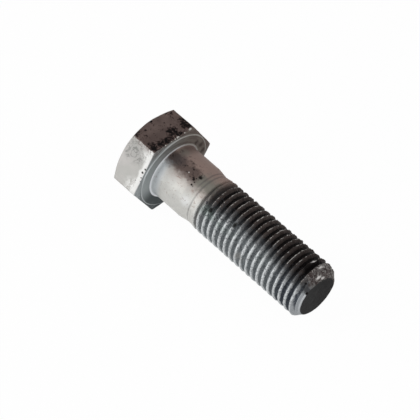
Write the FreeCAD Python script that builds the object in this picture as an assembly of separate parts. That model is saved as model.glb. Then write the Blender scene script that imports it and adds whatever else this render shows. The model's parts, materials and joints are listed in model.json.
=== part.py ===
import FreeCAD, Part
import math
import os

# Structural hex bolt, M24 x 80, part threaded: one forging with a rolled right-hand thread
# It lies as it comes to rest, on one edge of its head and on the last crest of its thread
# Lengths in mm, angles in degrees, x counted along the bolt from the bearing face to the tip

# Head
acrossFlats = 35.6
headHeight = 15.0
chamferCircle = 32.6
chamferAngle = 30.0
cornerEase = 0.5
cornerEaseAngle = 45.0

# Washer face and the fillet under the head
washerFaceDiameter = 34.4
washerFaceHeight = 0.7
washerFaceEdge = 0.2
underHeadFillet = 0.8

# Shank
shankDiameter = 24.0
plainLength = 15.0
taperLength = 4.4
neckDiameter = 22.5

# Thread
boltLength = 80.0
threadLength = 54.0
pitch = 3.0
majorDiameter = 23.6
flankAngle = 60.0
crestFlat = 0.8
crestPhase = 50.0
firstTraceDepth = 0.03

# Tip
endDiameter = 18.0
tipChamferAngle = 45.0

# How finely the helix and the fillet are stepped, and how far one body reaches into another
stepsPerTurn = 30
filletSteps = 3
overlap = 1.0
neckOverlap = 0.3

xAxis = FreeCAD.Vector(1, 0, 0)
yAxis = FreeCAD.Vector(0, 1, 0)
centre = FreeCAD.Vector(0, 0, 0)


def tangent(angle):
    return math.tan(math.radians(angle))


def around(x, radius, angle):
    # A point at this radius from the bolt's axis, angle in radians turned from y towards z
    return FreeCAD.Vector(x, radius * math.cos(angle), radius * math.sin(angle))


# Radii and places that follow from the driving dimensions
shankRadius = shankDiameter / 2
neckRadius = neckDiameter / 2
majorRadius = majorDiameter / 2
endRadius = endDiameter / 2
washerRadius = washerFaceDiameter / 2
cornerRadius = acrossFlats / math.sqrt(3)
fullThreadStart = boltLength - threadLength
neckStart = plainLength + taperLength
tipStart = boltLength - (majorRadius - endRadius) / tangent(tipChamferAngle)
threadDepth = (pitch - crestFlat) / 2 / tangent(flankAngle / 2)


def turned(outline, splined=False):
    # A closed outline of (x, radius) points, spun about the bolt's axis
    # Splined cones cut a flat face in splines, where plain ones cut it in hyperbolas
    points = [FreeCAD.Vector(x, 0, radius) for x, radius in outline]
    edges = []
    for start, end in zip(points, points[1:] + points[:1]):
        line = Part.LineSegment(start, end)
        slanted = start.x != end.x and start.z != end.z
        edges.append(line.toBSpline().toShape() if splined and slanted else line.toShape())
    return Part.Face(Part.Wire(edges)).revolve(centre, xAxis, 360)


def makeHead():
    # Hex prism with two flats level, trimmed by the chamfer cone on top and an ease on the bearing side
    corners = [around(-headHeight, cornerRadius, math.radians(60 * index)) for index in range(6)]
    hexagon = Part.Face(Part.makePolygon(corners + corners[:1]))
    prism = hexagon.extrude(xAxis * (headHeight - washerFaceHeight))
    reach = cornerRadius + overlap
    chamferRadius = chamferCircle / 2
    easeRadius = cornerRadius - cornerEase
    envelope = turned([
        (-headHeight, 0),
        (-headHeight, chamferRadius),
        (-headHeight + (reach - chamferRadius) * tangent(chamferAngle), reach),
        (-washerFaceHeight - (reach - easeRadius) * tangent(cornerEaseAngle), reach),
        (-washerFaceHeight, easeRadius),
        (-washerFaceHeight, 0),
    ], splined=True)
    return prism.common(envelope)


def filletOutline():
    # The hollow quarter round between the washer face and the shank
    outline = []
    for step in range(filletSteps + 1):
        angle = math.radians(90 * step / filletSteps)
        x = underHeadFillet * (1 - math.cos(angle))
        radius = shankRadius + underHeadFillet * (1 - math.sin(angle))
        outline.append((x, radius))
    return outline


def makeShank():
    # Washer face, fillet, plain shank and the taper that meets the thread at the neck
    taper = (shankRadius - neckRadius) / taperLength
    hiddenEnd = neckStart + neckOverlap
    return turned([
        (-headHeight / 2, 0),
        (-headHeight / 2, washerRadius),
        (-washerFaceEdge, washerRadius),
        (0, washerRadius - washerFaceEdge),
    ] + filletOutline() + [
        (plainLength, shankRadius),
        (hiddenEnd, neckRadius - taper * neckOverlap),
        (hiddenEnd, 0),
    ])


def grooveCorners(turn):
    # The groove in section after this many turns: near edge, root, far edge, and the axis below
    # It follows a right-hand helix, and sinks in as the crest rises from the neck to full thread
    x = neckStart - overlap - pitch + pitch * turn
    angle = 2 * math.pi * (x + pitch / 2) / pitch - math.radians(crestPhase)
    rise = min(1.0, max(0.0, (x - neckStart) / (fullThreadStart - neckStart)))
    eased = rise * rise * (3 - 2 * rise)
    crestRadius = neckRadius + (majorRadius - neckRadius) * eased
    depth = firstTraceDepth + (threadDepth - firstTraceDepth) * eased
    half = depth * tangent(flankAngle / 2)
    form = [(-half, crestRadius), (0, crestRadius - depth), (half, crestRadius), (-half, 0)]
    return [around(x + offset, radius, angle) for offset, radius in form]


def makeThread():
    # A solid screw: crest and two flanks stepped along the helix in short ruled patches,
    # closed at both ends by a helical floor and a flat radial face
    turns = math.ceil((boltLength - neckStart) / pitch) + 2
    sections = [grooveCorners(step / stepsPerTurn) for step in range((turns + 1) * stepsPerTurn + 1)]
    near, root, far, axis = range(4)

    def patch(rail, otherRail, step, lead=0):
        edge = Part.makeLine(sections[step][rail], sections[step + 1][rail])
        otherEdge = Part.makeLine(sections[step + lead][otherRail], sections[step + lead + 1][otherRail])
        return Part.makeRuledSurface(edge, otherEdge)

    faces = []
    for step in range(turns * stepsPerTurn):
        faces.append(patch(near, root, step))
        faces.append(patch(root, far, step))
        faces.append(patch(far, near, step, stepsPerTurn))
    for start in (0, turns * stepsPerTurn):
        faces += [patch(axis, near, step) for step in range(start, start + stepsPerTurn)]
        here = sections[start]
        after = sections[start + stepsPerTurn]
        underside = [sections[start + step][axis] for step in range(stepsPerTurn, 0, -1)]
        loop = [here[axis], here[near], here[root], here[far], after[near]] + underside
        faces.append(Part.Face(Part.makePolygon(loop + loop[:1])))
    shell = Part.Shell(Part.makeCompound(faces).Faces)
    shell.sewShape()
    screw = Part.Solid(Part.Shell(shell.Faces))
    if screw.Volume < 0:
        screw.reverse()
    return screw


def makeTipEnvelope():
    # What the chamfer and the end face leave of the thread
    reach = majorRadius + overlap
    return turned([
        (0, 0),
        (0, reach),
        (boltLength - (reach - endRadius) / tangent(tipChamferAngle), reach),
        (boltLength, endRadius),
        (boltLength, 0),
    ])


def restPlacement(bolt):
    # Tips the bolt until the head's edge and the last crest touch the surface,
    # and puts the origin under the middle of the box that then holds it
    drop = acrossFlats / 2 - majorRadius
    tilt = math.atan2(drop, tipStart + washerFaceHeight)
    turn = FreeCAD.Rotation(yAxis, math.degrees(tilt))
    tipped = bolt.copy()
    tipped.Placement = FreeCAD.Placement(centre, turn)
    box = tipped.optimalBoundingBox()
    return FreeCAD.Placement(FreeCAD.Vector(-box.Center.x, -box.Center.y, -box.ZMin), turn)


def makeBolt():
    upper = makeShank().fuse(makeHead()).removeSplitter()
    thread = makeThread().common(makeTipEnvelope())
    bolt = upper.fuse(thread).Solids[0]
    bolt.Placement = restPlacement(bolt)
    return bolt


if __name__ == "__main__":
    os.makedirs("parts", exist_ok=True)
    bolt = makeBolt()
    print("bolt valid", bolt.isValid(), "volume", round(bolt.Volume), "faces", len(bolt.Faces))
    print(bolt.optimalBoundingBox())
    bolt.exportStep("parts/bolt.step")
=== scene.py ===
import json
import math
import bpy
import numpy as np
from mathutils import Matrix, Vector


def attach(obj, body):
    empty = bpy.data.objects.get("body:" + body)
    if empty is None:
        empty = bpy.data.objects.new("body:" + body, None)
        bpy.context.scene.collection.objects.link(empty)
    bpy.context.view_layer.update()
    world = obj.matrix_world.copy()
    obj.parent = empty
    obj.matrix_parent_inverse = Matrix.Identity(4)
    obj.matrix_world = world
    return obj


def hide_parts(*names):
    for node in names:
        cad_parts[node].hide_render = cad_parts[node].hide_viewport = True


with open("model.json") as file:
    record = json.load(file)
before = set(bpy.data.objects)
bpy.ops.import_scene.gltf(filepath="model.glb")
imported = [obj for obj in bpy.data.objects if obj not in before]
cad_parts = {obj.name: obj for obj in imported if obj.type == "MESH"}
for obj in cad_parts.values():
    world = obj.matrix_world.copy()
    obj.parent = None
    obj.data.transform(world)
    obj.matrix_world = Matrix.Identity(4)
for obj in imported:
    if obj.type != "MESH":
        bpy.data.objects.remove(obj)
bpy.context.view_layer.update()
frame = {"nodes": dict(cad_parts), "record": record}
print("frame loaded, nodes:", sorted(frame["nodes"]))

# Galvanised hex bolt, lying on one edge of its head and the last crest of its thread
# Its shape is worked out in its own frame: x in mm from the bearing face to the tip,
# and angles about that axis counted from y towards z, so that two flats lie level
bolt = {
    "acrossFlats": 35.6, "headHeight": 15.0, "chamferCircle": 32.6, "chamferAngle": 30.0,
    "cornerEase": 0.5, "cornerBlend": 0.5, "edgeBlend": 0.22, "bearingEdgeRound": 0.3,
    "washerFaceDiameter": 34.4, "washerFaceHeight": 0.7, "washerFaceRound": 0.22, "washerFootBevel": 0.12,
    "underHeadFillet": 0.8, "shankDiameter": 24.0, "plainLength": 15.0,
    "taperLength": 4.4, "taperBlend": 0.08, "neckDiameter": 22.5,
    "boltLength": 80.0, "threadLength": 54.0, "pitch": 3.0, "majorDiameter": 23.6, "flankAngle": 60.0,
    "crestFlat": 0.8, "crestBlend": 0.22, "rootFill": 0.25, "rootBlend": 0.6, "crestPhase": 50.0,
    "runOutPower": 1.4, "endDiameter": 18.0, "tipChamferAngle": 45.0, "tipBlend": 0.3, "endRound": 0.25,
    "fillStart": 75.9, "fillMiddle": 70.0, "fillHalfWidth": 62.0, "fillShare": 0.8,
    "columns": 192, "cornerGather": 0.5, "rowsPerPitch": 18,
}


def tangent(degrees):
    return math.tan(math.radians(degrees))


# Radii and places that follow from the sizes above, and the way that the left flat faces
shankRadius = bolt["shankDiameter"] / 2
neckRadius = bolt["neckDiameter"] / 2
majorRadius = bolt["majorDiameter"] / 2
endRadius = bolt["endDiameter"] / 2
washerRadius = bolt["washerFaceDiameter"] / 2
chamferRadius = bolt["chamferCircle"] / 2
flatRadius = bolt["acrossFlats"] / 2
easeRadius = bolt["acrossFlats"] / math.sqrt(3) - bolt["cornerEase"]
neckStart = bolt["plainLength"] + bolt["taperLength"]
fullThreadStart = bolt["boltLength"] - bolt["threadLength"]
threadDepth = (bolt["pitch"] - bolt["crestFlat"]) / 2 / tangent(bolt["flankAngle"] / 2)
rootRadius = majorRadius - threadDepth
leftFacing = (0, math.cos(math.radians(150)), math.sin(math.radians(150)))


def softMin(a, b, blend):
    # The smaller of a and b, less a parabola of height blend / 4 where they are equal
    share = np.clip(0.5 + 0.5 * (b - a) / blend, 0, 1)
    return b + (a - b) * share - blend * share * (1 - share)


def smoothStep(value):
    # 3 v squared less 2 v cubed, with v held between 0 and 1
    held = np.clip(value, 0, 1)
    return held * held * (3 - 2 * held)


def turnedFrom(angle, degrees):
    # How far each angle lies from this one, the short way round
    return np.angle(np.exp(1j * (angle - math.radians(degrees))))


def columnAngles(count, gather):
    # Even steps t, less gather times the sine of 6 t over 6, so columns lie closer at the six corners
    even = np.linspace(0, 2 * np.pi, count, endpoint=False)
    return even - gather * np.sin(6 * even) / 6


def hexRadius(angle):
    # Half the size across flats over the cosine of the angle from a flat's middle, for the two nearest flats
    fromMiddle = np.abs(np.mod(angle, np.pi / 3) - np.pi / 6)
    near, beside = flatRadius / np.cos(fromMiddle), flatRadius / np.cos(np.pi / 3 - fromMiddle)
    return softMin(near, beside, bolt["cornerBlend"])


def headRadius(x, angle):
    # The least of the hexagon, the chamfer cone and the ease cone at the bearing side's corners
    chamfer = chamferRadius + (x + bolt["headHeight"]) / tangent(bolt["chamferAngle"])
    ease = easeRadius - bolt["washerFaceHeight"] - x
    return softMin(softMin(hexRadius(angle), chamfer, bolt["edgeBlend"]), ease, bolt["edgeBlend"])


def quarterRound(x, radius, size):
    # Rows round an outer edge: x less its size times 1 - sine, radius less its size times 1 - cosine
    turns = np.radians([30, 60, 90])
    return [(x - size * (1 - math.sin(turn)), radius - size * (1 - math.cos(turn))) for turn in turns]


def headProfile(angle):
    # Rows from the middle of the head's top, over the chamfer, along the flats, in across the bearing side
    top, bearing, edge = -bolt["headHeight"], -bolt["washerFaceHeight"], bolt["bearingEdgeRound"]
    rim = headRadius(top, angle)
    profile = [(top, rim * share) for share in (0.12, 0.3, 0.5, 0.7, 0.86, 0.96)]
    alongChamfer = np.linspace(top, top + 2.6, 15)      # close rows, where the chamfer meets the flats
    alongFlats = np.linspace(top + 3.2, bearing - edge, 16)
    profile += [(x, headRadius(x, angle)) for x in np.concatenate([alongChamfer, alongFlats])]
    outer = profile[-1][1]
    profile += quarterRound(bearing, outer, edge)
    foot = washerRadius + bolt["washerFootBevel"]
    return profile + [(bearing, (outer - edge) * (1 - share) + foot * share) for share in (0.35, 0.7, 1.0)]


def washerFaceProfile():
    # Rows up the raised ring's rim, round its edge, in across its face and round the fillet's quarter circle
    edge, fillet = bolt["washerFaceRound"], bolt["underHeadFillet"]
    profile = [(bolt["washerFootBevel"] - bolt["washerFaceHeight"], washerRadius), (-edge, washerRadius)]
    profile += quarterRound(0.0, washerRadius, edge)
    profile += [(0.0, radius) for radius in np.linspace(washerRadius - edge, shankRadius + fillet, 12)[1:]]
    turns = np.radians([15, 30, 45, 60, 75, 90])
    return profile + [(fillet * (1 - math.cos(t)), shankRadius + fillet * (1 - math.sin(t))) for t in turns]


def threadRadius(x, angle):
    # Crest radius less the groove: a 60 degree V, half a pitch from the crest along a right-hand helix
    # The crest line is where x over the pitch, less the turned angle, is a whole number
    rise = smoothStep((x - neckStart) / (fullThreadStart - neckStart))
    crest = neckRadius + (majorRadius - neckRadius) * rise
    depth = threadDepth * rise ** bolt["runOutPower"]
    turned = angle / (2 * np.pi) + bolt["crestPhase"] / 360
    fromGroove = np.abs(np.mod(x / bolt["pitch"] - turned, 1) - 0.5) * bolt["pitch"]
    groove = depth - fromGroove / tangent(bolt["flankAngle"] / 2)
    rounded = softMin(groove, depth - bolt["rootFill"] * rise, bolt["rootBlend"] * rise + 0.01)
    return crest + softMin(-rounded, 0.0, bolt["crestBlend"] * rise + 0.002)


def tipFilling(x, angle, radius):
    # Zinc left in the last groove on the upper side: a share of what the groove is short of the crests
    fromSide = math.radians(bolt["fillHalfWidth"]) - np.abs(turnedFrom(angle, bolt["fillMiddle"]))
    share = smoothStep((x - bolt["fillStart"]) / 1.0) * smoothStep(fromSide / 0.5)
    return radius + bolt["fillShare"] * share * np.maximum(majorRadius - 0.2 - radius, 0)


def shankRadiusAt(x, angle):
    # Plain shank, then a straight taper to the neck, then the thread, and the chamfer cone at the tip
    taper = shankRadius - (shankRadius - neckRadius) * (x - bolt["plainLength"]) / bolt["taperLength"]
    plain = softMin(shankRadius, taper, bolt["taperBlend"])
    body = tipFilling(x, angle, np.where(x < neckStart, plain, threadRadius(x, angle)))
    chamfer = endRadius + (bolt["boltLength"] - x) / tangent(bolt["tipChamferAngle"])
    return softMin(body, chamfer, bolt["tipBlend"])


def shankProfile(angle):
    # Rows along the shank and the thread, then round the end's edge and in to the middle of the end face
    start, fineStart, end = bolt["underHeadFillet"], bolt["plainLength"] - 0.5, bolt["boltLength"]
    step, edge = bolt["pitch"] / bolt["rowsPerPitch"], bolt["endRound"]
    plain = np.linspace(start, fineStart, 26)[1:]
    fine = np.arange(fineStart + step, end - edge, step)
    profile = [(x, shankRadiusAt(x, angle)) for x in np.concatenate([plain, fine])]
    profile += quarterRound(end, profile[-1][1], edge)
    face = profile[-1][1]
    return profile + [(end, face * share) for share in (0.94, 0.82, 0.66, 0.48, 0.3, 0.12)]


def waves(points, wavelength, count, seed):
    # A random field: this many sines in random directions and phases, over the root of half their count
    draw = np.random.default_rng(seed)
    direction = draw.normal(size=(count, 3))
    direction /= np.linalg.norm(direction, axis=1, keepdims=True)
    number = 2 * np.pi / wavelength * draw.uniform(0.6, 1.5, size=(count, 1))
    phase = draw.uniform(0, 2 * np.pi, size=count)
    return np.sin(points @ (direction * number).T + phase).sum(axis=-1) / math.sqrt(count / 2)


def gridNormals(points):
    # The cross product of each point's differences along its row and across the rows, made unit length
    along = np.roll(points, -1, axis=1) - np.roll(points, 1, axis=1)
    across = np.gradient(points, axis=0)
    normal = np.cross(along, across)
    return normal / np.maximum(np.linalg.norm(normal, axis=-1, keepdims=True), 1e-12)


# Lumps of the dipped coat in mm, the angle of the thread's roughest side, and small dents in the crests
# A dent is its place along the bolt, its angle about it, its width and its depth
coat = {
    "slowWaves": 0.018, "quickWaves": 0.010, "crestLumps": 0.03, "topLumps": 0.05, "tipLumps": 0.06,
    "roughSide": 55.0,
    "dents": [(40.9, 124, 0.9, 0.35), (28.0, 126, 0.7, 0.25), (45.4, 104, 0.8, 0.3), (66.2, 142, 0.6, 0.25),
              (69.5, 138, 0.6, 0.2), (74.3, 117, 0.9, 0.3), (58.0, 108, 0.8, 0.25), (33.5, 66, 0.8, 0.3),
              (49.0, 168, 1.2, 0.35), (51.5, 175, 1.2, 0.35), (52.0, 60, 0.8, 0.3), (61.0, 235, 0.9, 0.3),
              (38.0, 300, 1.0, 0.3), (70.0, 330, 0.9, 0.3)],
}


def zincLayer(points, x, angle):
    # Waves everywhere, lumps on the crests and more of them by the tip, less the dents' bell curves
    radius = np.hypot(points[..., 1], points[..., 2])
    layer = coat["slowWaves"] * waves(points, 7.0, 24, 3) + coat["quickWaves"] * waves(points, 2.2, 32, 5)
    onCrests = smoothStep((x - neckStart) / 3) * smoothStep((radius - rootRadius - 0.6) / 1.0)
    roughSide = smoothStep((np.cos(angle - math.radians(coat["roughSide"])) - 0.5) / 0.5)
    byTip = smoothStep((x - 75.5) / 1.5) * smoothStep((79.6 - x) / 0.8)
    byTip = byTip * smoothStep((points[..., 2] - 4) / 4)
    lumps = coat["crestLumps"] + coat["topLumps"] * roughSide + coat["tipLumps"] * byTip
    layer += onCrests * lumps * (waves(points, 1.4, 40, 7) + 0.8 * waves(points, 3.5, 24, 9))
    for place, degrees, width, depth in coat["dents"]:
        around = turnedFrom(angle, degrees) * radius
        bell = np.exp(-((x - place) ** 2 + (around * 0.7) ** 2) / width ** 2)
        layer -= depth * bell * (radius > rootRadius + 0.8)
    return layer


def restPlacement():
    # The shank mount gives the bolt's axis, and a point on it half way along the plain shank
    mount = next(m for m in frame["record"]["mounts"] if m["name"] == "shank")
    axis = Vector(mount["axis"])
    middle = (bolt["underHeadFillet"] + bolt["plainLength"]) / 2 / 1000
    tilt = math.atan2(-axis.z, axis.x)
    return Matrix.Translation(Vector(mount["pos_m"]) - axis * middle) @ Matrix.Rotation(tilt, 4, "Y")


def closedGrid(name, points):
    # Quads between neighbouring rows, round to the first column, and a fan of triangles to each end's middle
    rowCount, columnCount = points.shape[:2]
    vertices = np.vstack([points.reshape(-1, 3), points[0].mean(axis=0), points[-1].mean(axis=0)])
    here = np.arange(columnCount)
    after = np.roll(here, -1)
    start = np.arange(rowCount - 1)[:, None] * columnCount
    corners = [start + here, start + after, start + columnCount + after, start + columnCount + here]
    quads = np.stack(corners, axis=-1).reshape(-1, 4)
    firstPole, lastPole = rowCount * columnCount, rowCount * columnCount + 1
    lastRow = (rowCount - 1) * columnCount
    neighbours = list(zip(here.tolist(), after.tolist()))
    fans = [(firstPole, b, a) for a, b in neighbours]
    fans += [(lastPole, lastRow + a, lastRow + b) for a, b in neighbours]
    mesh = bpy.data.meshes.new(name)
    mesh.from_pydata(vertices, [], quads.tolist() + fans)
    mesh.validate()
    mesh.polygons.foreach_set("use_smooth", np.ones(len(mesh.polygons), dtype=bool))
    mesh.update()
    return mesh


def makeBoltSkin(placement):
    # Each point lies at x and its radius out at its angle, and the coat lifts it along its normal
    angle = columnAngles(bolt["columns"], bolt["cornerGather"])
    profile = headProfile(angle) + washerFaceProfile() + shankProfile(angle)
    x = np.array([np.full_like(angle, place) for place, out in profile])
    radius = np.array([np.full_like(angle, out) for place, out in profile])
    points = np.stack([x, radius * np.cos(angle), radius * np.sin(angle)], axis=-1)
    points = points + gridNormals(points) * zincLayer(points, x, angle)[..., None]
    mesh = closedGrid("boltSkin", points * 0.001)
    mesh.transform(placement)
    skin = bpy.data.objects.new("boltSkin", mesh)
    bpy.context.collection.objects.link(skin)
    print("bolt skin:", len(profile), "rows,", sum(len(p.vertices) - 2 for p in mesh.polygons), "triangles")
    return skin


# The coat's looks: linear colours that all its parts share, its shine, and its grain's height in metres
# Its patterns of noise are each the size of a feature in mm, the detail and the roughness
zinc = {
    # The white paints a highlight, the brown goes into the upper side's stain and painted shade, the smudge
    # colour paints smudges and painted shade, and the last colour paints glints
    "white": (0.80, 0.81, 0.81, 1), "pale": (0.61, 0.605, 0.575, 1), "grey": (0.38, 0.38, 0.37, 1),
    "blueGrey": (0.67, 0.71, 0.74, 1), "taupe": (0.276, 0.201, 0.175, 1), "brown": (0.115, 0.084, 0.075, 1),
    "olive": (0.20, 0.19, 0.165, 1), "smudgeAndShade": (0.048, 0.048, 0.054, 1), "black": (0.004, 0.003, 0.003, 1),
    "glintColour": (0.55, 0.53, 0.50, 1),
    "metallic": 0.22, "specular": 0.05, "roughness": 0.48, "dullRoughness": 0.62, "patchyRoughness": 0.25,
    "grainStrength": 0.5, "grainHeight": 0.00006,
    "patterns": {"slow": (9.0, 3.0, 0.5), "middling": (2.4, 4.0, 0.6), "crumbs": (1.6, 5.0, 0.7),
                 "fine": (0.8, 3.0, 0.6), "grit": (0.3, 2.0, 0.6)},
}


def newNode(tree, kind, inputs=None, **settings):
    # A shader node with its settings, each input given a value or linked to an output
    made = tree.nodes.new("ShaderNode" + kind)
    for name, value in settings.items():
        setattr(made, name, value)
    for name, value in (inputs or {}).items():
        if isinstance(value, bpy.types.NodeSocket):
            tree.links.new(value, made.inputs[name])
        else:
            made.inputs[name].default_value = value
    return made


def reckon(tree, operation, *terms, clamp=False):
    return newNode(tree, "Math", dict(enumerate(terms)), operation=operation, use_clamp=clamp).outputs[0]


def times(tree, *terms):
    # The product of all the terms
    product = terms[0]
    for term in terms[1:]:
        product = reckon(tree, "MULTIPLY", product, term)
    return product


def timesPlus(tree, value, factor, term):
    # The value times the factor, plus the term
    return reckon(tree, "MULTIPLY_ADD", value, factor, term)


def shifted(tree, value, noise, reach):
    # The value, plus reach times what the noise is above one half
    return timesPlus(tree, reckon(tree, "SUBTRACT", noise, 0.5), reach, value)


def fade(tree, value, start, end):
    # 0 up to start and 1 from end on, eased between, with start above end for a fall
    inputs = {"Value": value, "From Min": start, "From Max": end}
    return newNode(tree, "MapRange", inputs, interpolation_type="SMOOTHSTEP").outputs[0]


def cover(tree, share, under, over):
    # The colour over laid on the colour under by this share
    return newNode(tree, "Mix", {0: share, 6: under, 7: over}, data_type="RGBA").outputs[2]


def cloud(tree, place, size, detail=2.0, roughness=0.5, distortion=0.0):
    # Noise about one half, with features of this size in mm
    inputs = {"Vector": place, "Scale": 1 / size, "Detail": detail, "Roughness": roughness,
              "Distortion": distortion}
    return newNode(tree, "TexNoise", inputs).outputs[0]


def blots(tree, place, spots, rim=0.5):
    # The strongest of the round spots, each a point and a radius, faded over this share of the radius
    strongest = 0.0
    for point, radius in spots:
        gap = newNode(tree, "VectorMath", {0: place, 1: point}, operation="DISTANCE").outputs["Value"]
        spot = fade(tree, gap, radius * (1 + rim / 2), radius * (1 - rim))
        strongest = reckon(tree, "MAXIMUM", strongest, spot)
    return strongest


def onBarrel(x, degrees, radius):
    # The point at this place along the bolt, angle about it and distance from its axis
    return (x, radius * math.cos(math.radians(degrees)), radius * math.sin(math.radians(degrees)))


def barrelSpots(spots):
    # Round spots, from place along the bolt, angle about it, distance from its axis and the spot's radius
    return [(onBarrel(x, degrees, out), radius) for x, degrees, out, radius in spots]


def onFlat(x, down):
    # The point of the left flat at this place along the bolt and this far down from the flat's middle line
    out, up = leftFacing[1:]
    return (x, flatRadius * out - down * up, flatRadius * up + down * out)


def flatSpots(spots):
    # Round spots on the left flat, from place along the bolt, way down from the middle line and radius
    return [(onFlat(x, down), radius) for x, down, radius in spots]


def surveyPlace(tree, placement):
    # Where a point lies in the bolt's frame in mm, and the patterns of noise there
    # Its lean is its angle about the bolt from straight up, positive towards the left flat
    toBolt = placement.inverted()
    place = newNode(tree, "Mapping", {
        "Vector": newNode(tree, "TexCoord").outputs["Object"], "Location": toBolt.translation * 1000,
        "Rotation": toBolt.to_euler(), "Scale": (1000, 1000, 1000)}).outputs[0]
    x, y, z = newNode(tree, "SeparateXYZ", {0: place}).outputs
    lean = reckon(tree, "DEGREES", reckon(tree, "ARCTAN2", reckon(tree, "MULTIPLY", y, -1.0), z))
    across = newNode(tree, "CombineXYZ", {1: y, 2: z}).outputs[0]
    radius = newNode(tree, "VectorMath", {0: across}, operation="LENGTH").outputs["Value"]
    push = newNode(tree, "TexNoise", {"Vector": place, "Scale": 1.1, "Detail": 4.0}).outputs["Color"]
    centred = newNode(tree, "VectorMath", {0: push, 1: (0.5, 0.5, 0.5)}, operation="SUBTRACT").outputs[0]

    def pushed(reach):
        inputs = {0: centred, 1: (reach, reach, reach), 2: place}
        return newNode(tree, "VectorMath", inputs, operation="MULTIPLY_ADD").outputs[0]

    here = {name: cloud(tree, place, *values) for name, values in zinc["patterns"].items()}
    here.update({"place": place, "ragged": pushed(2.0), "slightlyRagged": pushed(0.7)})
    here.update({"x": x, "y": y, "z": z, "radius": radius, "lean": lean})
    here["raggedLean"] = shifted(tree, lean, here["crumbs"], 45.0)
    here["wavyLean"] = shifted(tree, lean, here["middling"], 35.0)
    return here


# Blots of the shank as barrelSpots takes them, one a painted highlight and one the head's painted shadow and
# reflection, and black dots and bright flecks without their distance, the flecks being painted glints
# A ring round the neck has its place, its half width, and the leans between which it comes up
shankTones = {
    "dullBlot": [(6.6, 131, 12.0, 4.0)], "highlightBlot": [(17.4, 152, 11.8, 2.4)],
    "oliveBlot": [(3.0, 78, 12.0, 2.6)], "smudgeAndShade": [(3.9, 99.5, 11.9, 3.7)],
    "rings": [(20.3, 0.5, -80.0, -60.0), (18.6, 0.4, 40.0, 5.0)],
    "dots": [(16.4, 97.6, 0.95), (15.0, 108.7, 0.6), (14.4, 107.0, 0.45), (16.1, 112.1, 0.42),
             (15.8, 119.0, 0.5), (15.6, 104.5, 0.3), (16.6, 120.4, 0.4), (13.0, 109.5, 0.25),
             (11.9, 94.5, 0.4), (13.4, 117.0, 0.22)],
    "flecks": [(11.4, 105, 0.3)],
}


def shankTone(tree, here):
    # Pale coat clouded with grey, bluish by the head, with taupe specks and slanting streaks
    place, x, lean, wavyLean = here["place"], here["x"], here["lean"], here["wavyLean"]
    middling = timesPlus(tree, here["middling"], 0.8, -0.72)
    clouds = reckon(tree, "MULTIPLY_ADD", here["slow"], 0.9, middling, clamp=True)
    tone = cover(tree, clouds, zinc["pale"], zinc["grey"])
    tone = cover(tree, times(tree, fade(tree, x, 5.5, 1.8), 0.8), tone, zinc["blueGrey"])
    dull = blots(tree, place, barrelSpots(shankTones["dullBlot"]), 0.95)
    tone = cover(tree, times(tree, dull, 0.4), tone, zinc["grey"])
    # A white blot low on the shank by the neck is a painted highlight
    paintedHighlight = blots(tree, place, barrelSpots(shankTones["highlightBlot"]), 0.95)
    tone = cover(tree, times(tree, paintedHighlight, 0.7), tone, zinc["white"])
    specks = times(tree, fade(tree, here["fine"], 0.60, 0.68), fade(tree, here["slow"], 0.42, 0.6), 0.5)
    tone = cover(tree, specks, tone, zinc["taupe"])
    slanted = {"Vector": place, "Rotation": (0.35, 0, 0.5), "Scale": (0.3, 1.0, 1.0)}
    drawn = cloud(tree, newNode(tree, "Mapping", slanted).outputs[0], 0.7, 2.0)
    streaks = times(tree, fade(tree, drawn, 0.60, 0.68), fade(tree, x, 5.0, 9.0),
                    fade(tree, lean, 85.0, 45.0), 0.6)
    tone = cover(tree, streaks, tone, zinc["taupe"])

    # The upper side's dark tone in its taupe halo, a brown stain with painted shade and dark reflection over
    # it: brown, taupe further round, then olive and black over it
    nearSide = fade(tree, lean, -100.0, -62.0)
    halo = times(tree, fade(tree, wavyLean, 54.0, 22.0), nearSide, fade(tree, x, 2.0, 6.0), 0.6)
    tone = cover(tree, halo, tone, zinc["taupe"])
    upperDark = cover(tree, fade(tree, wavyLean, 6.0, -10.0), zinc["brown"], zinc["taupe"])
    byHead = times(tree, fade(tree, x, 6.5, 2.0), fade(tree, lean, 0.0, -25.0), 0.6)
    upperDark = cover(tree, byHead, upperDark, zinc["brown"])
    byNeck = times(tree, fade(tree, x, 14.6, 17.5), fade(tree, wavyLean, -25.0, 12.0))
    upperDark = cover(tree, byNeck, upperDark, zinc["olive"])
    olive = blots(tree, here["ragged"], barrelSpots(shankTones["oliveBlot"]), 0.8)
    upperDark = cover(tree, times(tree, olive, 0.6), upperDark, zinc["olive"])
    mottle = times(tree, fade(tree, here["crumbs"], 0.53, 0.63), fade(tree, lean, -28.0, 0.0),
                   fade(tree, x, 18.0, 16.0), 0.7)
    upperDark = cover(tree, mottle, upperDark, zinc["black"])
    bothLean = reckon(tree, "MULTIPLY", reckon(tree, "ADD", here["raggedLean"], wavyLean), 0.5)
    tone = cover(tree, times(tree, fade(tree, bothLean, 38.0, 16.0), nearSide), tone, upperDark)
    # A dark blot on top by the head: painted shadow and reflection of the head
    smudgeAndShade = blots(tree, place, barrelSpots(shankTones["smudgeAndShade"]), 0.98)
    tone = cover(tree, times(tree, smudgeAndShade, 0.48), tone, zinc["smudgeAndShade"])

    # Two faint rings round the neck, the one nearer the head only on the upper side
    rings = []
    for middle, halfWidth, bare, ringed in shankTones["rings"]:
        off = timesPlus(tree, here["middling"], 0.5, reckon(tree, "SUBTRACT", x, middle))
        onRing = fade(tree, reckon(tree, "ABSOLUTE", off), halfWidth * 1.3, 0.1)
        rings.append(times(tree, onRing, fade(tree, lean, bare, ringed), 0.4))
    return cover(tree, reckon(tree, "MAXIMUM", *rings), tone, zinc["smudgeAndShade"])


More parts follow.
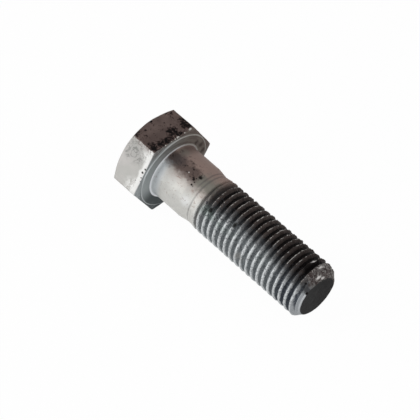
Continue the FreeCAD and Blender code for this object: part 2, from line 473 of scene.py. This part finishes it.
# Thread colours, a patch worn grey as barrelSpots takes it, and nicks in the crests without their distance
threadTones = {
    # Crests are pale on the lit left, painted light, and dark brown on top, painted shade and dark reflection
    # over a stain; grooves are darker than crests all round, painted shade
    "crestLeft": (0.60, 0.62, 0.63, 1), "crestMiddle": (0.13, 0.135, 0.14, 1),
    "crestTop": (0.056, 0.044, 0.040, 1), "grooveLeft": (0.235, 0.255, 0.265, 1),
    "grooveNearTip": (0.075, 0.087, 0.105, 1), "grooveMiddle": (0.05, 0.055, 0.062, 1),
    "grooveTop": (0.010, 0.008, 0.008, 1), "green": (0.17, 0.225, 0.20, 1),
    "wornPatch": [(48.4, 172, 11.5, 2.2)],
    "nicks": [(28.9, 131.3, 1.2), (40.7, 123.3, 1.25), (45.4, 104.0, 0.9)],
}


def threadTone(tree, here, shank):
    # Crests go from pale on the left over grey to dark brown on top, painted light on the left and painted
    # shade and dark reflection over a brown stain on top, and the grooves are darker all round, painted shade
    # in the grooves
    x, lean, fine = here["x"], here["lean"], here["fine"]
    backSide = fade(tree, lean, -75.0, -115.0)
    startShift = times(tree, fade(tree, x, 38.0, 26.0), 14.0)
    tipShift = times(tree, fade(tree, x, 56.0, 74.0), 12.0)
    edgeLean = reckon(tree, "SUBTRACT", here["raggedLean"], reckon(tree, "ADD", startShift, tipShift))
    leftSide = reckon(tree, "MAXIMUM", fade(tree, edgeLean, 22.0, 50.0), backSide)
    onTop = reckon(tree, "SUBTRACT", fade(tree, edgeLean, 34.0, 4.0), backSide, clamp=True)
    crest = cover(tree, leftSide, threadTones["crestMiddle"], threadTones["crestLeft"])
    crest = cover(tree, onTop, crest, threadTones["crestTop"])
    nearTip = fade(tree, x, 60.0, 72.0)
    leftGroove = cover(tree, nearTip, threadTones["grooveLeft"], threadTones["grooveNearTip"])
    groove = cover(tree, leftSide, threadTones["grooveMiddle"], leftGroove)
    groove = cover(tree, onTop, groove, threadTones["grooveTop"])
    # The first grooves take the shank's tone darkened: painted shade in the groove
    firstGroove = cover(tree, 0.6, shank, zinc["smudgeAndShade"])
    groove = cover(tree, fade(tree, x, 22.5, 29.0), firstGroove, groove)
    crest = cover(tree, times(tree, fade(tree, here["crumbs"], 0.52, 0.62), 0.6), crest, groove)
    crest = cover(tree, fade(tree, x, 22.0, 27.0), shank, crest)

    # A point's depth below the crests, roughened, and less where the crest's tone reaches further down
    rise = fade(tree, x, neckStart, fullThreadStart)
    crestRadius = timesPlus(tree, rise, majorRadius - neckRadius, neckRadius)
    roughDepth = timesPlus(tree, fine, 0.6, reckon(tree, "SUBTRACT", crestRadius, here["radius"]))
    depth = timesPlus(tree, reckon(tree, "SUBTRACT", 1.0, leftSide), -0.42, roughDepth)
    # Deep enough below the crests the groove's painted shade takes over
    tone = cover(tree, fade(tree, depth, 0.60, 0.80), crest, groove)
    # The crests on top go blacker towards the tip: more painted shade and stain on the upper side
    tone = cover(tree, times(tree, onTop, fade(tree, x, 48.0, 66.0), 0.35), tone, zinc["black"])

    # A greenish band between the pale and the dark side, dark pits, pale flecks, a worn patch and nicks
    onThread = fade(tree, x, 22.0, 26.0)
    greenLength = times(tree, fade(tree, x, 64.0, 54.0), 0.25)
    greenLength = timesPlus(tree, fade(tree, x, 42.0, 34.0), 0.25, greenLength)
    greenish = times(tree, fade(tree, lean, 68.0, 52.0), fade(tree, lean, 24.0, 42.0),
                     fade(tree, here["slow"], 0.44, 0.54), onThread, greenLength)
    tone = cover(tree, greenish, tone, threadTones["green"])
    speckled = times(tree, onThread, fade(tree, lean, -20.0, 25.0), fade(tree, lean, 120.0, 60.0))
    pepper = cloud(tree, here["place"], 0.7, 1.0, 0.5)
    nearStart = times(tree, fade(tree, x, 44.0, 28.0), fade(tree, lean, 70.0, 45.0))
    pits = times(tree, fade(tree, pepper, 0.54, 0.62), speckled, timesPlus(tree, nearStart, 0.4, 0.55))
    tone = cover(tree, pits, tone, zinc["smudgeAndShade"])
    fleckShare = timesPlus(tree, nearStart, 0.3, 0.15)
    flecks = times(tree, fade(tree, pepper, 0.44, 0.36), speckled, leftSide, fleckShare)
    tone = cover(tree, flecks, tone, threadTones["crestLeft"])
    worn = blots(tree, here["ragged"], barrelSpots(threadTones["wornPatch"]), 0.8)
    tone = cover(tree, times(tree, worn, 0.85), tone, zinc["grey"])
    nicks = [(onBarrel(along, degrees, majorRadius), size) for along, degrees, size in threadTones["nicks"]]
    tone = cover(tree, times(tree, blots(tree, here["slightlyRagged"], nicks), 0.9), tone, zinc["black"])

    # Broken painted highlights along the head side of the crests on top, told by the distance from the crest
    # line
    pitch, phase = bolt["pitch"], 0.5 - (90 + bolt["crestPhase"]) / 360
    turns = timesPlus(tree, lean, -1 / 360, timesPlus(tree, x, 1 / pitch, phase))
    fromCrest = timesPlus(tree, reckon(tree, "FRACT", turns), pitch, -0.5 * pitch)
    beside = reckon(tree, "ABSOLUTE", reckon(tree, "ADD", fromCrest, 0.3))
    broken = times(tree, fade(tree, fine, 0.40, 0.52), fade(tree, here["middling"], 0.44, 0.54))
    crestHighlight = times(tree, fade(tree, beside, 0.26, 0.08), broken, onTop, fade(tree, x, 24.0, 28.0), 0.75)
    return cover(tree, crestHighlight, tone, zinc["glintColour"])


# Tip colours, its stains and notches as barrelSpots takes them, and bright streaks, which are painted
# highlights
# A streak has its place, its angle and half its width, and is five times as long as wide,
# because a degree about the bolt counts for a fifth of its length in mm
tipTones = {
    # The pale low colour and the rim colour of the chamfer are painted highlights on its lit left side
    "chamferLowHighlight": (0.385, 0.405, 0.425, 1), "chamferMiddle": (0.07, 0.071, 0.075, 1),
    "chamferTop": (0.112, 0.097, 0.093, 1), "chamferDark": (0.024, 0.014, 0.013, 1),
    "chamferRimHighlight": (0.66, 0.68, 0.70, 1), "cutEnd": (0.019, 0.019, 0.019, 1), "glint": (0.72, 0.70, 0.68, 1),
    "stains": [(74.6, 79, 11.3, 2.4), (73.6, 93, 11.3, 2.2), (73.4, 64, 11.3, 2.0)],
    "notches": [(79.8, 133, 9.2, 0.7), (77.7, 118, 11.2, 0.55)],
    "streaks": [(78.95, 88.5, 0.34), (79.75, 79.0, 0.26), (73.1, 73.0, 0.3), (76.6, 71.0, 0.32)],
    "streakDegree": 0.041,
}


def tipTone(tree, here, tone):
    # A black stain behind the chamfer, which is smooth and pale low on the left, a painted highlight, and
    # rough and flecked on top, the flecks painted glints
    x, lean, radius, raggedLean = here["x"], here["lean"], here["radius"], here["raggedLean"]
    crumbs, fine = here["crumbs"], here["fine"]
    upperDark = blots(tree, here["ragged"], barrelSpots(tipTones["stains"]), 0.6)
    tone = cover(tree, times(tree, upperDark, 0.95), tone, zinc["black"])
    rough = times(tree, fade(tree, raggedLean, 34.0, 12.0), fade(tree, lean, -110.0, -70.0))
    roughCrumbs = times(tree, rough, crumbs)
    rim = timesPlus(tree, roughCrumbs, 1.6, radius)
    onEnd = times(tree, fade(tree, x, 79.6, 79.85), fade(tree, rim, 9.3, 8.9))
    underCone = reckon(tree, "SUBTRACT", bolt["boltLength"] + endRadius, reckon(tree, "ADD", x, radius))
    nearCone = reckon(tree, "MAXIMUM", fade(tree, underCone, 0.5, 0.2), rough)
    along = timesPlus(tree, rough, 0.7, timesPlus(tree, roughCrumbs, 2.0, x))
    onChamfer = times(tree, fade(tree, along, 76.9, 77.5), nearCone, reckon(tree, "SUBTRACT", 1.0, onEnd))
    fromTop = fade(tree, raggedLean, 18.0, 30.0)
    chamfer = cover(tree, fromTop, tipTones["chamferTop"], tipTones["chamferMiddle"])
    chamfer = cover(tree, times(tree, fade(tree, here["middling"], 0.48, 0.60), 0.3), chamfer, zinc["grey"])
    # Pale low on the left: a painted highlight
    chamfer = cover(tree, fade(tree, raggedLean, 40.0, 54.0), chamfer, tipTones["chamferLowHighlight"])
    # A pale line along the end's edge on the left: a painted edge highlight
    endEdgeHighlight = times(tree, fade(tree, x, 79.25, 79.5), fade(tree, raggedLean, 44.0, 52.0),
                    fade(tree, lean, 120.0, 80.0), 0.7)
    chamfer = cover(tree, endEdgeHighlight, chamfer, tipTones["chamferRimHighlight"])
    dark = times(tree, rough, fade(tree, crumbs, 0.54, 0.42), 0.75)
    chamfer = cover(tree, dark, chamfer, tipTones["chamferDark"])
    # Bright flecks on the rough top: painted glints
    flecked = times(tree, rough, fade(tree, here["wavyLean"], 22.0, 2.0))
    flecks = times(tree, flecked, fade(tree, fine, 0.56, 0.64), 0.5)
    chamfer = cover(tree, flecks, chamfer, zinc["glintColour"])
    tone = cover(tree, onChamfer, tone, chamfer)
    endShade = times(tree, fade(tree, here["y"], -5.0, 6.0), 0.6)
    tone = cover(tree, onEnd, tone, cover(tree, endShade, tipTones["cutEnd"], zinc["black"]))
    notches = blots(tree, here["slightlyRagged"], barrelSpots(tipTones["notches"]))
    tone = cover(tree, notches, tone, zinc["black"])

    # The streaks, painted highlights, are round spots in a plane of place along the bolt and shortened lean
    degree = tipTones["streakDegree"]
    wavyX = timesPlus(tree, fine, 0.6, reckon(tree, "SUBTRACT", x, 0.3))
    unrolled = newNode(tree, "CombineXYZ", {0: wavyX, 1: reckon(tree, "MULTIPLY", lean, degree)}).outputs[0]
    spots = [((px, (degrees - 90) * degree, 0), size) for px, degrees, size in tipTones["streaks"]]
    streaks = times(tree, blots(tree, unrolled, spots, 0.7), fade(tree, radius, 8.9, 9.1))
    return cover(tree, streaks, tone, tipTones["glint"])


# Head colours, then its marks: patches of the upper flat by place along and across it, painted glints on its
# edge by place across it, marks of the left flat as flatSpots takes them, and stains of the washer face by y
# and z
headTones = {
    # The upper flat's brown tones are painted shade and dark reflection over a brown stain; the rim and
    # fillet colours paint edge highlights, brighter on the left
    "top": (0.138, 0.101, 0.091, 1), "topDark": (0.092, 0.066, 0.060, 1),
    "topStain": (0.024, 0.014, 0.013, 1), "left": (0.43, 0.425, 0.405, 1),
    "leftWarm": (0.47, 0.455, 0.44, 1), "leftSwirl": (0.14, 0.145, 0.138, 1),
    "leftEdge": (0.76, 0.76, 0.745, 1), "faceLeft": (0.35, 0.38, 0.385, 1),
    "faceRight": (0.165, 0.139, 0.118, 1), "faceLow": (0.092, 0.105, 0.109, 1),
    "rimRight": (0.40, 0.385, 0.36, 1), "rimLeft": (0.55, 0.58, 0.59, 1), "filletHighlightLeft": (0.9, 0.92, 0.95, 1),
    "topPatches": [(-3.6, 9.4, 3.6), (-5.4, 9.6, 2.4), (-5.2, 2.3, 2.6), (-3.6, 2.8, 3.0), (-1.6, 3.4, 2.6),
                   (-2.4, 0.4, 2.6), (-2.0, -2.2, 2.4), (-2.4, -5.2, 2.8), (-3.0, -8.9, 2.8),
                   (-12.6, -9.3, 2.2), (-13.6, -0.7, 0.7), (-11.7, -5.1, 0.6), (-11.6, 8.3, 1.2)],
    "edgeGlints": [(-4.4, 0.35), (-1.3, 0.25), (0.5, 0.35), (1.7, 0.5), (2.2, 0.45), (5.6, 0.3), (8.1, 0.5),
                   (8.6, 0.6)],
    "glintX": -0.75, "glintZ": 17.7,
    "leftDots": [(-1.7, -0.1, 0.6), (-1.1, -1.9, 0.45), (-1.2, 2.1, 0.4), (-0.9, 3.6, 0.25),
                 (-3.1, 4.6, 0.2)],
    "swirlAreas": [(-9.2, -5.4, 5.0), (-6.6, -4.4, 3.6), (-11.5, -2.6, 2.0)],
    "stripEnds": [(-2.2, -7.0, 3.4), (-2.6, 8.2, 4.6)],
    "faceStains": [(15.4, 0.5, 1.5), (14.2, 4.8, 1.5), (11.6, 8.1, 1.2)],
}


def headTone(tree, here, tone):
    # Grey head, whose left flat is pale with swirls and has a white strip along its bearing edge
    place, x, lean, crumbs = here["place"], here["x"], here["lean"], here["crumbs"]
    flatStart, flatFull = flatRadius - 0.45, flatRadius - 0.25      # a flat's tone comes up between these
    onHead = fade(tree, x, -0.5, -0.72)
    slowly = fade(tree, here["slow"], 0.35, 0.65)
    plain = cover(tree, slowly, zinc["grey"], headTones["left"])
    tone = cover(tree, fade(tree, x, -0.8, -1.0), tone, plain)
    outLeft = newNode(tree, "VectorMath", {0: place, 1: leftFacing}, operation="DOT_PRODUCT")
    leftFlat = times(tree, onHead, fade(tree, outLeft.outputs["Value"], flatStart, flatFull),
                     fade(tree, lean, 19.0, 21.0))
    contour = reckon(tree, "SUBTRACT", cloud(tree, place, 4.6, 1.0, 0.5, 2.2), 0.5)
    swirls = fade(tree, reckon(tree, "ABSOLUTE", contour), 0.07, 0.01)
    areas = blots(tree, here["ragged"], flatSpots(headTones["swirlAreas"]), 0.7)
    left = cover(tree, slowly, headTones["left"], headTones["leftWarm"])
    left = cover(tree, times(tree, areas, 0.2), left, headTones["leftSwirl"])
    left = cover(tree, times(tree, areas, swirls, 0.6), left, headTones["leftSwirl"])
    ends = blots(tree, here["ragged"], flatSpots(headTones["stripEnds"]), 0.8)
    ends = times(tree, ends, fade(tree, crumbs, 0.40, 0.54))
    strip = fade(tree, shifted(tree, x, here["middling"], 5.0), -3.8, -2.2)
    strip = reckon(tree, "MAXIMUM", strip, ends)
    left = cover(tree, times(tree, strip, 0.9), left, headTones["leftEdge"])
    overEdge = times(tree, fade(tree, here["fine"], 0.47, 0.54), fade(tree, lean, 38.0, 30.0), 0.8)
    left = cover(tree, overEdge, left, headTones["top"])
    tone = cover(tree, leftFlat, tone, left)

    # The upper flat, dark brown, painted shade and dark reflection over a brown stain, with black mottle that
    # gathers in patches
    closeLean = shifted(tree, lean, crumbs, 8.0)
    upperFlat = times(tree, fade(tree, closeLean, 31.4, 30.2), fade(tree, lean, -31.0, -29.8), onHead,
                      fade(tree, here["z"], flatStart, flatFull))
    top = cover(tree, slowly, headTones["top"], headTones["topDark"])
    top = cover(tree, times(tree, fade(tree, here["middling"], 0.50, 0.62), 0.3), top, headTones["topDark"])
    patches = [((along, across, flatRadius), radius) for along, across, radius in headTones["topPatches"]]
    lumps = timesPlus(tree, here["fine"], 0.55, cloud(tree, place, 2.0, 5.0, 0.7))
    mottle = timesPlus(tree, blots(tree, place, patches, 0.9), 0.25, lumps)
    top = cover(tree, times(tree, fade(tree, mottle, 0.83, 0.98), 0.85), top, headTones["topStain"])
    top = cover(tree, fade(tree, mottle, 0.92, 1.04), top, zinc["black"])
    return cover(tree, upperFlat, tone, top)


def faceTone(tree, here, tone):
    # Faces that look along the bolt: blue grey, browner towards the upper right, with a pale rim and fillet
    # that are painted edge highlights, brighter on the left
    x, lean, radius = here["x"], here["lean"], here["radius"]
    onFace = times(tree, fade(tree, radius, 12.4, 12.7), fade(tree, x, -0.95, -0.68), fade(tree, x, 2.0, 1.0))
    face = cover(tree, fade(tree, lean, 75.0, -45.0), headTones["faceLeft"], headTones["faceRight"])
    face = cover(tree, fade(tree, lean, 85.0, 125.0), face, headTones["faceLow"])
    crumbly = fade(tree, here["crumbs"], 0.42, 0.56)
    patchy = reckon(tree, "MAXIMUM", crumbly, fade(tree, here["fine"], 0.46, 0.56))
    outside = times(tree, fade(tree, radius, 17.3, 17.6), patchy, fade(tree, lean, 45.0, 20.0))
    face = cover(tree, times(tree, outside, 0.7), face, headTones["top"])
    swept = newNode(tree, "CombineXYZ", {0: radius, 1: reckon(tree, "MULTIPLY", lean, 0.05)}).outputs[0]
    arcs = fade(tree, cloud(tree, swept, 1.3, 3.0), 0.46, 0.62)
    arcs = times(tree, arcs, fade(tree, lean, 60.0, -10.0), 0.45)
    face = cover(tree, arcs, face, headTones["topDark"])
    stains = [((0, y, z), size) for y, z, size in headTones["faceStains"]]
    stained = times(tree, blots(tree, here["ragged"], stains, 0.8), 0.7)
    face = cover(tree, stained, face, headTones["topStain"])
    tone = cover(tree, onFace, tone, face)
    # A pale line round the raised ring's rim: a painted edge highlight, paler on the left
    rim = times(tree, fade(tree, radius, 16.75, 17.0), fade(tree, radius, 17.6, 17.3),
                fade(tree, x, -0.5, -0.3))
    rimHighlight = cover(tree, fade(tree, lean, -30.0, 40.0), headTones["rimRight"], headTones["rimLeft"])
    tone = cover(tree, times(tree, rim, 0.85), tone, rimHighlight)
    # A bright line round the fillet: a painted highlight, brightest on the left
    filletHighlightShare = timesPlus(tree, fade(tree, lean, 5.0, 50.0), 0.3, 0.7)
    fillet = times(tree, fade(tree, radius, 12.2, 12.4), fade(tree, radius, 13.1, 12.85),
                   fade(tree, x, -0.2, -0.05), filletHighlightShare)
    filletHighlight = cover(tree, fade(tree, lean, -40.0, 10.0), headTones["rimRight"], headTones["filletHighlightLeft"])
    return cover(tree, fillet, tone, filletHighlight)


def zincMaterial(name, placement):
    # The tones are laid one over another: shank, thread, tip, head and its faces, then dots and painted
    # glints
    material = bpy.data.materials.new(name)
    material.use_nodes = True
    tree = material.node_tree
    shader = tree.nodes["Principled BSDF"]
    here = surveyPlace(tree, placement)
    tone = threadTone(tree, here, shankTone(tree, here))
    tone = faceTone(tree, here, headTone(tree, here, tipTone(tree, here, tone)))

    # Black dots on the left flat and the shank, and painted glints along the upper flat's bearing edge and on
    # the shank
    dots = flatSpots(headTones["leftDots"])
    dots += [(onBarrel(x, degrees, shankRadius), radius) for x, degrees, radius in shankTones["dots"]]
    tone = cover(tree, times(tree, blots(tree, here["slightlyRagged"], dots), 0.95), tone, zinc["black"])
    edgeX, edgeZ = headTones["glintX"], headTones["glintZ"]
    glintSpots = [((edgeX, across, edgeZ), radius) for across, radius in headTones["edgeGlints"]]
    glintSpots += [(onBarrel(x, degrees, shankRadius), radius) for x, degrees, radius in shankTones["flecks"]]
    tone = cover(tree, blots(tree, here["slightlyRagged"], glintSpots), tone, zinc["glintColour"])

    # Dark tones, stains and painted shade alike, are duller than the pale coat, which is patchy itself and
    # has a fine grain
    brightness = newNode(tree, "RGBToBW", {0: tone}).outputs[0]
    shineChange = zinc["roughness"] - zinc["dullRoughness"]
    dullness = timesPlus(tree, fade(tree, brightness, 0.03, 0.35), shineChange, zinc["dullRoughness"])
    patchiness = reckon(tree, "SUBTRACT", here["middling"], 0.5)
    patchiness = reckon(tree, "MULTIPLY", patchiness, zinc["patchyRoughness"])
    grain = timesPlus(tree, here["fine"], 0.7, here["grit"])
    relief = {"Strength": zinc["grainStrength"], "Distance": zinc["grainHeight"], "Height": grain}
    tree.links.new(tone, shader.inputs["Base Color"])
    tree.links.new(newNode(tree, "Bump", relief).outputs[0], shader.inputs["Normal"])
    tree.links.new(reckon(tree, "ADD", dullness, patchiness), shader.inputs["Roughness"])
    shader.inputs["Metallic"].default_value = zinc["metallic"]
    shader.inputs["Specular IOR Level"].default_value = zinc["specular"]
    return material


placement = restPlacement()
skin = makeBoltSkin(placement)
skin.data.materials.append(zincMaterial("galvanisedZinc", placement))
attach(skin, "root")
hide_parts("bolt")

# White ground under the bolt: seen directly it is nearly all white, with a trace of the bolt's shadow
ground = {"size": 6.0, "colour": (0.85, 0.85, 0.85, 1), "whiteShare": 0.975}


def seenRays(tree):
    # 1 for rays that see the background: from the camera, mirrored in metal or sent on through glass
    path = newNode(tree, "LightPath").outputs
    mirrored = reckon(tree, "MAXIMUM", path["Is Glossy Ray"], path["Is Transmission Ray"])
    return reckon(tree, "MAXIMUM", path["Is Camera Ray"], mirrored)


def whiteGround(name):
    # A matt white, mixed with plain white light for the rays that see the background
    material = bpy.data.materials.new(name)
    material.use_nodes = True
    tree = material.node_tree
    tree.nodes.remove(tree.nodes["Principled BSDF"])
    matt = newNode(tree, "BsdfDiffuse", {"Color": ground["colour"]}).outputs[0]
    white = newNode(tree, "Emission", {"Color": (1, 1, 1, 1), "Strength": 1.0}).outputs[0]
    share = reckon(tree, "MULTIPLY", seenRays(tree), ground["whiteShare"])
    both = newNode(tree, "MixShader", {0: share, 1: matt, 2: white}).outputs[0]
    tree.links.new(both, tree.nodes["Material Output"].inputs["Surface"])
    return material


def makeGround():
    half = ground["size"] / 2
    corners = [(-half, -half, 0), (half, -half, 0), (half, half, 0), (-half, half, 0)]
    mesh = bpy.data.meshes.new("ground")
    mesh.from_pydata(corners, [], [(0, 1, 2, 3)])
    floor = bpy.data.objects.new("ground", mesh)
    bpy.context.collection.objects.link(floor)
    floor.data.materials.append(whiteGround("whiteGround"))


makeGround()

# Camera as fitted to the photograph: direction and roll in degrees, the rest in mm
camera = {"azimuth": 46.725, "elevation": 48.514, "roll": 0.209, "distance": 648.77,
          "aim": (-10.727, -0.486, 12.0), "lens": 141.97, "sensor": 36.0}


def makeCamera():
    # Stands back from its aim in this direction, and is rolled about the line of sight
    turn, rise = math.radians(camera["azimuth"]), math.radians(camera["elevation"])
    back = Vector((math.sin(turn) * math.cos(rise), -math.cos(turn) * math.cos(rise), math.sin(rise)))
    right = Vector((math.cos(turn), math.sin(turn), 0))
    roll = Matrix.Rotation(math.radians(camera["roll"]), 3, "Z")
    rotation = Matrix((right, back.cross(right), back)).transposed() @ roll
    place = (Vector(camera["aim"]) + back * camera["distance"]) / 1000
    data = bpy.data.cameras.new("camera")
    data.lens, data.sensor_width = camera["lens"], camera["sensor"]
    view = bpy.data.objects.new("camera", data)
    view.matrix_world = Matrix.Translation(place) @ rotation.to_4x4()
    bpy.context.collection.objects.link(view)
    bpy.context.scene.camera = view


makeCamera()

# Studio light: one large soft lamp on the left, a weak one opposite, and a grey room
# Places and sizes are in metres, power is in watts
light = {"key": {"from": (-0.55, -0.66, 0.46), "size": 1.0, "power": 6.5},
         "fill": {"from": (0.6, 0.2, 0.6), "size": 0.8, "power": 1.2},
         "room": 0.43}


def makeLights():
    # Each lamp faces the origin, and the room is white for the rays that see it
    for name in ("key", "fill"):
        lamp = light[name]
        data = bpy.data.lights.new(name, "AREA")
        data.shape, data.size, data.energy = "DISK", lamp["size"], lamp["power"]
        lit = bpy.data.objects.new(name, data)
        place = Vector(lamp["from"])
        lit.matrix_world = Matrix.Translation(place) @ place.to_track_quat("Z", "Y").to_matrix().to_4x4()
        bpy.context.collection.objects.link(lit)
    world = bpy.data.worlds.new("room")
    bpy.context.scene.world = world
    world.use_nodes = True
    tree = world.node_tree
    back = tree.nodes["Background"]
    level = newNode(tree, "MapRange", {"Value": seenRays(tree), "To Min": light["room"], "To Max": 1.0})
    tree.links.new(level.outputs["Result"], back.inputs["Strength"])
    back.inputs["Color"].default_value = (1, 1, 1, 1)


makeLights()
bpy.context.scene.view_settings.view_transform = "Standard"
